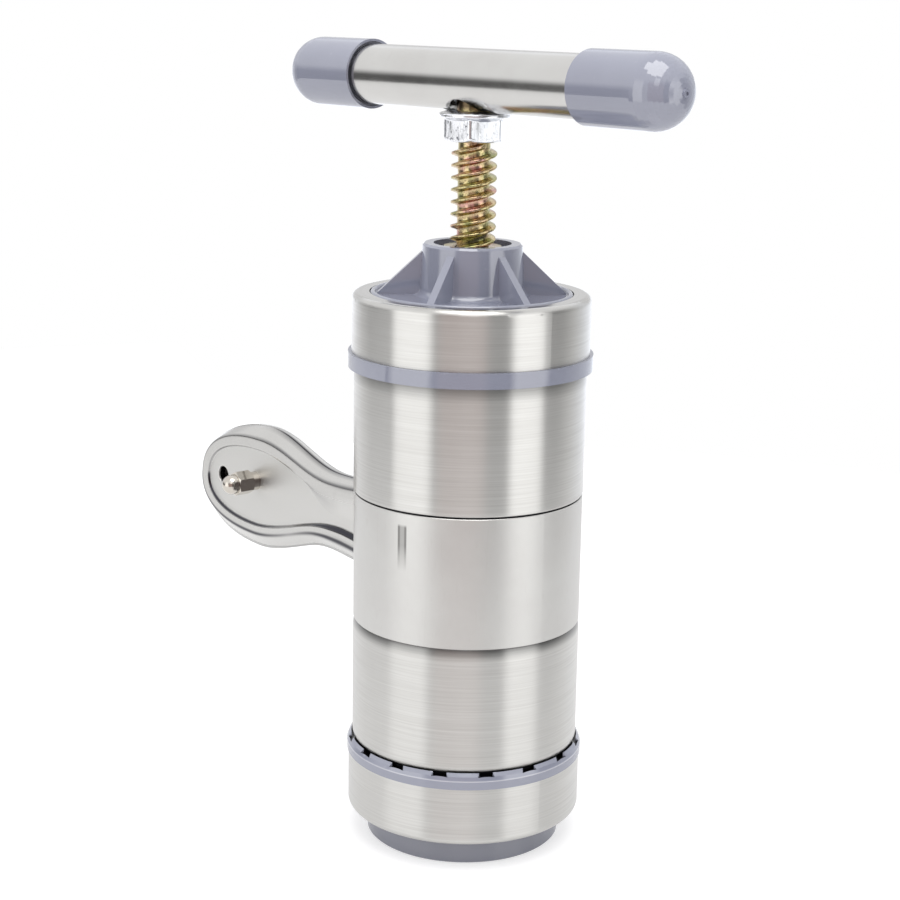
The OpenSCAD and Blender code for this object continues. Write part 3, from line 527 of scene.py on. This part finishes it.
def handle_half(name, side, wall):
    """One stamped half. Its wall is a list of (inset, depth) points from the seam."""
    rows = [(inset, depth, 0.0) for inset, depth in wall]
    rows += [(wall_w + rim_w * share, half_t, 0.0) for share in (0.2, 0.55, 0.9)]
    for i in range(7):
        t = i / 6
        rows.append((wall_w + rim_w + step_w * t, half_t - panel_drop * eased(t), soft_step * t))
    rows.append((wall_w + rim_w + step_w + 0.25 * mm, half_t - panel_drop, soft_step))
    rings = [outline(inset, soft) for inset, depth, soft in rows]
    count = len(rings[0])
    points = []
    for i in range(count):
        for ring, (inset, depth, soft) in zip(rings, rows):
            s, h = ring[i]
            x = -(s - lean * h)
            if i in (0, count - 1):
                x = -sqrt(sleeve_r ** 2 - depth ** 2)
            points.append((x, side * depth + swing * (x + sleeve_r), handle_z + h))
    row = len(rows)
    mesh = bpy.data.meshes.new(name)
    faces = [(i * row + k, (i + 1) * row + k, (i + 1) * row + k + 1, i * row + k + 1)
             for i in range(count - 1) for k in range(row - 1)]
    # the panel is a flat sheet with two punched holes, each with a rolled lip
    edge = [points[i * row + row - 1] for i in range(count)]
    plan = [Vector((x, z)) for x, _, z in edge]
    loops = [list(range(count))]
    for x, z, r in punched:
        start = len(plan)
        for i in range(hole_steps):
            a = 2 * pi * i / hole_steps
            plan.append(Vector((x + (r + rolled) * cos(a), z + (r + rolled) * sin(a))))
        loops.append(list(range(start, start + hole_steps)))
    verts, _, patches, *_ = delaunay_2d_cdt(plan, [], loops, 1, 1e-7)
    panel_y = side * (half_t - panel_drop)
    base = len(points)
    points += [(v.x, panel_y + swing * (v.x + sleeve_r), v.y) for v in verts]
    for patch in patches:
        x, z = sum((verts[k] for k in patch), Vector((0, 0))) / len(patch)
        if all((x - a) ** 2 + (z - b) ** 2 > (r + rolled) ** 2 * 0.98 for a, b, r in punched):
            faces.append(tuple(base + k for k in patch))
    for x, z, r in punched:
        start = len(points)
        deep = len(lip_rows)
        for i in range(hole_steps):
            a = 2 * pi * i / hole_steps
            points += [(x + (r + out) * cos(a),
                        panel_y - side * down + swing * (x + sleeve_r + (r + out) * cos(a)),
                        z + (r + out) * sin(a)) for out, down in lip_rows]
            here, following = start + i * deep, start + (i + 1) % hole_steps * deep
            faces += [(here + k, following + k, following + k + 1, here + k + 1)
                      for k in range(deep - 1)]
    mesh.from_pydata(points, [], faces)
    # painted reflection and shade along the bends, the step and the seam
    shade = mesh.attributes.new("drawn", "FLOAT", "POINT")
    for i in range(count):
        for k, (inset, depth, soft) in enumerate(rows):
            s, h = rings[k][i]
            shade.data[i * row + k].value = drawn_shade(inset, depth, s, i > count // 2)
    flat = mesh.attributes.new("panel", "FLOAT", "POINT")
    for i in list(range(base, len(points))) + [i * row + row - 1 for i in range(count)]:
        flat.data[i].value = 1
    for i in range(count):
        for k, (inset, depth, soft) in enumerate(rows[:-1]):
            # the soft step of the upper neck belongs to the panel
            s, h = rings[k][i]
            if i <= count // 2:
                flat.data[i * row + k].value = soft / soft_step * eased((soft_end - s) / fade)
    work = bmesh.new()
    work.from_mesh(mesh)
    bmesh.ops.remove_doubles(work, verts=work.verts, dist=0.004 * mm)
    bmesh.ops.recalc_face_normals(work, faces=work.faces)
    work.to_mesh(mesh)
    work.free()
    mesh.shade_smooth()
    piece = bpy.data.objects.new(name, mesh)
    scene.collection.objects.link(piece)
    return piece


def drawn_shade(inset, depth, s, below):
    """How dark the painted lines are: a painted dark reflection along the bend and along the foot
    of the panel's step, and painted shade along the seam.
    """
    neck = min(1, max(0, (92 * mm - s) / (26 * mm)))
    # on the low side the lines fade where the handle's edge runs level
    ends = min(1, abs(s - 96 * mm) / (24 * mm))
    bend_line = max(0, 1 - abs(inset - 0.9 * wall_w) / ((0.17 + 0.12 * neck) * wall_w))
    past_step = inset - wall_w - rim_w - 0.5 * step_w
    step_line = max(0, 1 - abs(past_step) / ((0.55 + 0.2 * neck) * step_w))
    if below:
        return max(min(1, bend_line * (0.5 + 0.8 * ends)), min(1, step_line * (0.5 + 1.2 * ends)))
    seam = max(0, 1 - depth / (0.9 * mm)) * eased((128 * mm - s) / fade)
    return max(bend_line * (0.5 + 0.3 * eased((125 * mm - s) / (20 * mm))),
               0.5 * step_line * (1 - neck), min(1, 1.3 * seam))


lip = 0.35 * mm
rolled = 0.7 * mm
lip_rows = ((rolled, 0), (lip, 0), (0.45 * lip, 0.1 * lip), (0.12 * lip, 0.45 * lip), (0, lip),
            (0, sheet))
hang_s = 143.0 * mm
hang_r = 3.5 * mm
bolt_r = 2.7 * mm
bolt_x, _, bolt_z = (sum(ends) / 2 for ends in zip(*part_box("nut_collar")))
punched = [(-hang_s, handle_z, hang_r), (bolt_x, bolt_z, bolt_r)]
seam_edge = [(0.9 * mm, seam_gap), (0.35 * mm, seam_gap), (0.1 * mm, seam_gap + 0.06 * mm),
             (0, 0.5 * mm)]
flat_end = (0.70 * wall_w, 0.82 * half_t)
sloped_wall = (seam_edge + [(0.3 * wall_w, 0.36 * half_t), (0.55 * wall_w, 0.65 * half_t)]
               + bend(flat_end, (0.86 * wall_w, half_t), (1.04 * wall_w, half_t), 8))
full_wall = seam_edge + bend(
    (0.03 * wall_w, 0.3 * half_t), (0.08 * wall_w, half_t), (wall_w, half_t), 12)
fit(handle_half("handle_front", -1, sloped_wall), stamped, "barrel", "polished_steel",
    "handle_shell_front")
fit(handle_half("handle_rear", 1, full_wall), stamped, "barrel", "polished_steel",
    "handle_shell_rear")

# Bolt, acorn nut and rivet
# Nickel plated steel. The bolt draws the two halves together through a short
# collar, and the rivet holds the ends of the band between them.
plated, tree, skin = finish("nickel", 0.14)
wear = use(tree, fine_wear, Size=1.6)
shine = ramp(tree, wear["Smudge"], [(0, (0.50, 0.465, 0.41)), (0.4, (0.57, 0.53, 0.475)),
                                    (0.6, (0.61, 0.575, 0.52)), (1, (0.68, 0.645, 0.60))])
# painted reflection: the flat of the nut that faces the barrel is painted dark
facing = wire(tree, "ShaderNodeSeparateXYZ", {
    0: wire(tree, "ShaderNodeTexCoord").outputs["Normal"]}).outputs["X"]
painted_dark_flat = ramp(tree, facing, [(0, 0.0), (0.86, 0.0), (0.93, 0.85), (1, 0.9)])
shine = mix(tree, painted_dark_flat, shine, (0.12, 0.105, 0.1))
tree.links.new(mix(tree, sums(tree, "MULTIPLY", wear["Scratch"], 0.3), shine, (0.4, 0.36, 0.3)),
               skin.inputs["Base Color"])
tree.links.new(sums(tree, "MULTIPLY_ADD", wear["Smudge"], 0.1, 0.06), skin.inputs["Roughness"])
relief(tree, skin, wear["Scratch"], 0.004 * mm, 0.25)
dress(plated, "acorn_nut", "handle_bolt", "nut_collar", "band_rivet")


# Screw cap, die ring and end caps
# Moulded in a glossy grey plastic with a lavender cast. The skin shows slow
# flow marks, a fine grain and a few light scuffs.
moulded_skin, given, out = effect("moulded skin", {"Grain": 2600.0}, ("Grain", "Flow", "Scuff"))
tree = moulded_skin
place = wire(tree, "ShaderNodeTexCoord").outputs["Object"]
fine = wire(tree, "ShaderNodeTexNoise", {"Vector": place, "Detail": 2.0})
tree.links.new(given["Grain"], fine.inputs["Scale"])
tree.links.new(fine.outputs["Fac"], out["Grain"])
tree.links.new(noise(tree, place, 28.0, 3.0), out["Flow"])
tree.links.new(ramp(tree, noise(tree, stretched(tree, place, (420, 90, 300)), 1.0, 4.0, 0.65),
                    [(0, 0.0), (0.66, 0.0), (0.78, 1.0), (1, 1.0)]), out["Scuff"])


def plastic(name, dark, light, roughness, painted_hollow_shade=None, edge=None):
    """A moulded plastic between two shades, with masks of painted shade in hollows and of a painted
    highlight on edges.
    """
    material, tree, skin = finish(name, roughness, 0.0, Specular_IOR_Level=1.0, IOR=1.6)
    look = use(tree, moulded_skin)
    shade = ramp(tree, look["Flow"], [(0, dark), (0.35, dark), (0.65, light), (1, light)])
    shade = mix(tree, sums(tree, "MULTIPLY", look["Scuff"], 0.12), shade, (0.75, 0.76, 0.8))
    # painted shade in hollows
    if painted_hollow_shade:
        shade = mix(tree, painted_hollow_shade(tree), shade, (0.03, 0.03, 0.036))
    # a painted highlight on edges
    if edge:
        shade = mix(tree, edge(tree), shade, (0.6, 0.61, 0.66))
    tree.links.new(shade, skin.inputs["Base Color"])
    tree.links.new(sums(tree, "MULTIPLY_ADD", look["Flow"], 0.06, roughness - 0.03),
                   skin.inputs["Roughness"])
    relief(tree, skin, look["Grain"], 0.006 * mm, 0.15)
    return material


def ring_painted_shade(tree):
    """Painted shade on the floors of the slots in the die ring's rim, and lighter painted shade on
    part of the outlet below its shell.
    """
    place = wire(tree, "ShaderNodeTexCoord").outputs["Object"]
    xyz = wire(tree, "ShaderNodeSeparateXYZ", {0: place}).outputs
    level = wire(tree, "ShaderNodeVectorMath", {0: wire(tree, "ShaderNodeCombineXYZ", {
        "X": xyz["X"], "Y": xyz["Y"]}).outputs[0]}, operation="LENGTH").outputs["Value"]
    # the slots lie between 30 and 33 mm up, inside the rim's outer wall
    deep = ramp(tree, sums(tree, "MULTIPLY", xyz["Z"], 1 / ring_h), [
        (0.0, 0.38), (0.2, 0.38), (0.23, 0.0), (0.74, 0.0), (0.75, 1.0), (0.82, 1.0),
        (0.83, 0.0), (1.0, 0.0)])
    return sums(tree, "MULTIPLY", deep, sums(tree, "LESS_THAN", level, slot_r))


def rim_painted_highlight(tree):
    """A painted highlight on the edge between the side and the slope of the die ring's rim."""
    place = wire(tree, "ShaderNodeTexCoord").outputs["Object"]
    height = wire(tree, "ShaderNodeSeparateXYZ", {0: place}).outputs["Z"]
    return ramp(tree, sums(tree, "MULTIPLY", height, 1 / ring_h), [
        (0.0, 0.0), (0.7895, 0.0), (0.7925, 0.7), (0.7985, 0.7), (0.8015, 0.0), (1.0, 0.0)])


# both masks run from 0 at the table to 1 at this height
ring_h = 40 * mm
slot_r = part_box("die_ring")[1][0] - 0.64 * mm
grey_shades = (0.24, 0.253, 0.32), (0.262, 0.276, 0.347)
grey = plastic("grey_plastic", *grey_shades, 0.065)
dress(grey, "t_bar_cap_left", "t_bar_cap_right", "cap_insert", "chamber_liner", "piston_plate")
# painted shade in the slots and on the outlet, and a painted highlight on the rim's edge
grey_ring = plastic("grey_ring_plastic", *grey_shades, 0.1, ring_painted_shade, rim_painted_highlight)
dress(grey_ring, "die_ring")


def soften(name, width, limit=14):
    """Rounds the sharp edges of a CAD node a little, as a mould or a tumbler leaves them."""
    joined = nodes[name].modifiers.new("joined", "WELD")
    joined.merge_threshold = 0.001 * mm
    rounding = nodes[name].modifiers.new("rounding", "BEVEL")
    rounding.width = width
    rounding.segments = 2
    rounding.limit_method = "ANGLE"
    rounding.angle_limit = radians(limit)
    evened = nodes[name].modifiers.new("evened", "WEIGHTED_NORMAL")
    evened.keep_sharp = False


soften("cap_insert", 0.35 * mm)
soften("die_ring", 0.15 * mm)


# Neck threads
# The liner's two necks carry moulded threads. The cap and the die ring screw
# on to them.
def thread(name, start, turns, pitch, root_r, crest_r, steps,
           shares=(0.34, 0.42, 0.5, 0.58, 0.7, 0.82, 0.9, 0.97),
           rises=(0, 0.12, 0.6, 0.96, 1.0, 0.96, 0.6, 0.12), run_out=1.0, angle=0.0, width=1.0):
    """A right-handed thread around the barrel axis, faded out at both ends."""
    # shares are places along the pitch, and rises how far each stands out
    rings = []
    for i in range(int(turns * steps) + 1):
        a = 2 * pi * i / steps + angle
        fade = min(1, i / (run_out * steps), (turns * steps - i) / (run_out * steps))
        ring = [(root_r * cos(a), root_r * sin(a), start + pitch * i / steps)]
        for share, rise in zip(shares, rises):
            r = root_r + (crest_r - root_r) * rise * max(0, fade)
            ring.append((r * cos(a), r * sin(a), start + pitch * (i / steps + share)))
        ring.append((root_r * cos(a), root_r * sin(a), start + pitch * (i / steps + width)))
        rings.append(ring)
    return grid_mesh(name, rings, closed=False)


liner_low, liner_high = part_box("chamber_liner")
neck_r = 35.3 * mm
neck_pitch = 3.2 * mm
neck_turns = 3
for name, start in (("neck_thread_low", liner_low[2] + 0.4 * mm),
                    ("neck_thread_high", liner_high[2] - 13.2 * mm)):
    ridge = thread(name, start, neck_turns, neck_pitch, neck_r - 0.05 * mm, neck_r + 0.32 * mm, 96)
    fit(ridge, grey, "barrel", "grey_plastic")

# Spindle and its bush
# Steel with a yellow chromate over zinc. Its colour drifts between gold, green
# and pink. The thread was rolled, so crests and roots are rounded.
gold, tree, skin = finish("yellow_zinc", 0.22)
wear = use(tree, fine_wear, Size=1.4)
place = wire(tree, "ShaderNodeTexCoord").outputs["Object"]
drift = noise(tree, stretched(tree, place, (130, 130, 210)), 1.0, 3.0, 0.6)
film = ramp(tree, drift, [
    (0, (0.30, 0.38, 0.17)), (0.36, (0.42, 0.42, 0.19)), (0.47, (0.62, 0.52, 0.27)),
    (0.56, (0.64, 0.47, 0.29)), (0.66, (0.66, 0.38, 0.33)), (1, (0.55, 0.34, 0.40))])
speck = noise(tree, place, 1500.0, 2.0)
film = mix(tree, ramp(tree, speck, [(0, 0.75), (0.38, 0.6), (0.5, 0.1), (1, 0.0)]), film,
           (0.16, 0.115, 0.06))
# painted shade: the top of the spindle, above the nut and inside the tube, is painted dark
height = wire(tree, "ShaderNodeSeparateXYZ", {0: place}).outputs["Z"]
painted_top_shade = ramp(tree, sums(tree, "MULTIPLY", height, 2.0), [
    (0, 0.0), (0.4885, 0.0), (0.4905, 0.92), (1, 0.92)])
film = mix(tree, painted_top_shade, film, (0.07, 0.05, 0.03))
tree.links.new(mix(tree, sums(tree, "MULTIPLY", wear["Scratch"], 0.45), film, (0.22, 0.16, 0.08)),
               skin.inputs["Base Color"])
tree.links.new(sums(tree, "MULTIPLY_ADD", wear["Smudge"], 0.24, 0.1), skin.inputs["Roughness"])
relief(tree, skin, wear["Smudge"], 0.02 * mm, 0.3)
dress(gold, "spindle_bush")

spindle_low, spindle_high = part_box("spindle")
foot_z = spindle_low[2]
collar_z = foot_z + 6.3 * mm
collar_top = foot_z + 10.1 * mm
pitch = 3.9 * mm
root_r = 5.25 * mm
crest_r = 7.45 * mm
journal_r = 4.5 * mm
collar_r = 9 * mm
stud_r = 5.9 * mm
nut_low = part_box("flange_nut")[0][2]
screw_start = collar_top - 0.67 * pitch
lead = 2 * pitch
screw_turns = (nut_low + 0.08 * pitch - screw_start - pitch) / lead
core_r = root_r - 0.03 * mm
core_top = nut_low - 0.1 * mm
chamfer = 0.3 * mm
screw_hole_r = 2.5 * mm
root = lathe("spindle_root", [(core_r, collar_top - 0.5 * mm), (core_r, core_top)], 64)
for name, angle in (("spindle_thread_1", 0), ("spindle_thread_2", pi)):
    ridge = thread(
        name, screw_start, screw_turns, lead, root_r, crest_r, 48,
        (0.19, 0.215, 0.245, 0.275, 0.30, 0.33, 0.37, 0.40, 0.425, 0.455, 0.485, 0.5),
        (0, 0.05, 0.32, 0.72, 0.93, 1.0, 1.0, 0.93, 0.72, 0.32, 0.05, 0), 0.2, angle, 0.5)
    fit(ridge, gold, "crank", "yellow_zinc", "spindle")
foot = lathe("spindle_foot", [
    (screw_hole_r, foot_z + 9 * mm), (screw_hole_r, foot_z), (journal_r - chamfer, foot_z),
    (journal_r, foot_z + chamfer), (journal_r, collar_z), (collar_r - chamfer, collar_z),
    (collar_r, collar_z + chamfer), (collar_r, collar_top - chamfer),
    (collar_r - chamfer, collar_top), (root_r, collar_top)], 64)
stud = lathe("spindle_stud", [
    (root_r - 0.1 * mm, core_top), (stud_r, core_top), (stud_r, spindle_high[2] - 2 * chamfer),
    (stud_r - 2 * chamfer, spindle_high[2]), (0.1 * mm, spindle_high[2])], 64)
for piece in (root, foot, stud):
    fit(piece, gold, "crank", "yellow_zinc", "spindle")
for piece in (foot, stud):
    bevelled = piece.modifiers.new("edges", "EDGE_SPLIT")
    bevelled.split_angle = radians(40)

# Flange nut, dowel, washer and screw
# Steel with a bright white zinc. The nut was tumbled and gripped by a socket,
# so its flats are scratched along the axis and spotted with dark marks.
zinc, tree, skin = finish("white_zinc", 0.24)
wear = use(tree, fine_wear, Size=1.2)
place = wire(tree, "ShaderNodeTexCoord").outputs["Object"]
rub = noise(tree, stretched(tree, place, (1100, 1100, 170)), 1.0, 4.0, 0.7)
spots = noise(tree, stretched(tree, place, (1000, 1000, 700)), 1.0, 3.0, 0.6)
# a wrench has pitted the front flat
front = wire(tree, "ShaderNodeVectorMath", {
    0: wire(tree, "ShaderNodeTexCoord").outputs["Normal"], 1: (-0.02, -0.999, 0)},
    operation="DOT_PRODUCT").outputs["Value"]
pitted = ramp(tree, front, [(0, 0.25), (0.9, 0.25), (0.97, 1.0), (1, 1.0)])
rubbed = sums(tree, "MULTIPLY", ramp(tree, rub, [(0, 1.0), (0.4, 0.8), (0.5, 0.0), (1, 0.0)]), 0.6)
spotted = ramp(tree, spots, [(0, 1.0), (0.36, 1.0), (0.43, 0.0), (1, 0.0)])
worn = sums(tree, "MULTIPLY", pitted, sums(tree, "MAXIMUM", rubbed, spotted))
shine = ramp(tree, wear["Smudge"], [(0, (0.72, 0.74, 0.78)), (0.45, (0.82, 0.84, 0.87)),
                                    (0.6, (0.88, 0.89, 0.92)), (1, (0.93, 0.94, 0.96))])
tree.links.new(mix(tree, worn, shine, (0.1, 0.105, 0.13)), skin.inputs["Base Color"])
tree.links.new(sums(tree, "MULTIPLY_ADD", wear["Smudge"], 0.16, 0.15), skin.inputs["Roughness"])
relief(tree, skin, sums(tree, "ADD", rub, wear["Scratch"]), 0.02 * mm, 0.3)
dress(zinc, "flange_nut", "t_bar_dowel", "piston_washer", "piston_screw")

flat_r = 9.1 * mm
corner_r = 10.35 * mm
flange_r = 11.5 * mm
phase = radians(11)
serrations = 24
nut_steps = 192


def nut_ring(angle):
    """The outline of the nut at one angle: a chamfered hexagon below a round, serrated flange."""
    corner = (angle - phase) % (pi / 3) - pi / 6
    hexagon = flat_r / cos(corner)
    tooth = abs((angle * serrations / (2 * pi)) % 1 - 0.5) * 0.5 * mm
    side = min(hexagon, corner_r)
    rows = [(6 * mm, 0), (8.5 * mm, 0), (min(hexagon, 8.95 * mm), 0.12 * mm),
            (min(hexagon, 9.75 * mm), 0.5 * mm), (side, 1.1 * mm), (side, 1.6 * mm),
            (side, 6.4 * mm), (max(side, 9.5 * mm), 6.9 * mm), (10.3 * mm, 7.3 * mm),
            (10.95 * mm, 7.6 * mm), (11.35 * mm, 7.75 * mm), (flange_r, 7.95 * mm),
            (flange_r, 8.7 * mm), (11.3 * mm, 8.95 * mm), (10.6 * mm, 9.1 * mm + 0.6 * tooth),
            (8.4 * mm, 9.6 * mm + tooth), (8.2 * mm, 9.3 * mm)]
    return [(r * cos(angle), r * sin(angle), nut_low + z) for r, z in rows]


nut = grid_mesh("nut", [nut_ring(phase + 2 * pi * i / nut_steps) for i in range(nut_steps)])
fit(nut, zinc, "crank", "white_zinc", "flange_nut")

# Die and piston seal
# The die is punched from an opaque white plastic, and the seal is a ring of
# soft pale rubber in the piston's groove.
die_white = plastic("die_plastic", (0.74, 0.73, 0.69), (0.79, 0.785, 0.75), 0.38)
dress(die_white, "die_plate")
seal = plastic("seal_rubber", (0.62, 0.61, 0.57), (0.68, 0.67, 0.63), 0.6)
dress(seal, "piston_seal")
